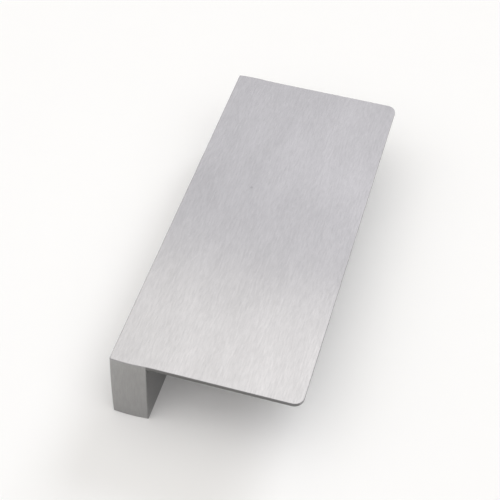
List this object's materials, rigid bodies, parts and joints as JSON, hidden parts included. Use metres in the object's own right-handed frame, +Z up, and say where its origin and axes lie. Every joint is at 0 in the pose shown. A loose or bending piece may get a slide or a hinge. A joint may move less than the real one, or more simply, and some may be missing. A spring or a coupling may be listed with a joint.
{
  "type": "offset pull",
  "caption": "Offset pull: a thin flat plate carried along one long edge by a solid bar leg that screws to a door or drawer front, with finger room behind the plate's free edge.",
  "frame": {"origin": "in the foot, the leg's underside, midway between the two screw holes", "axes": "+X across the plate towards its free edge, +Y along the pull, +Z up from the foot, away from the door"},
  "size_m": [0.0649, 0.1538, 0.0288],
  "materials": {
    "satin_steel": "satin, brushed along the length"
  },
  "bodies": {
    "root": {"offset_pull": "satin_steel"}
  },
  "joints": []
}
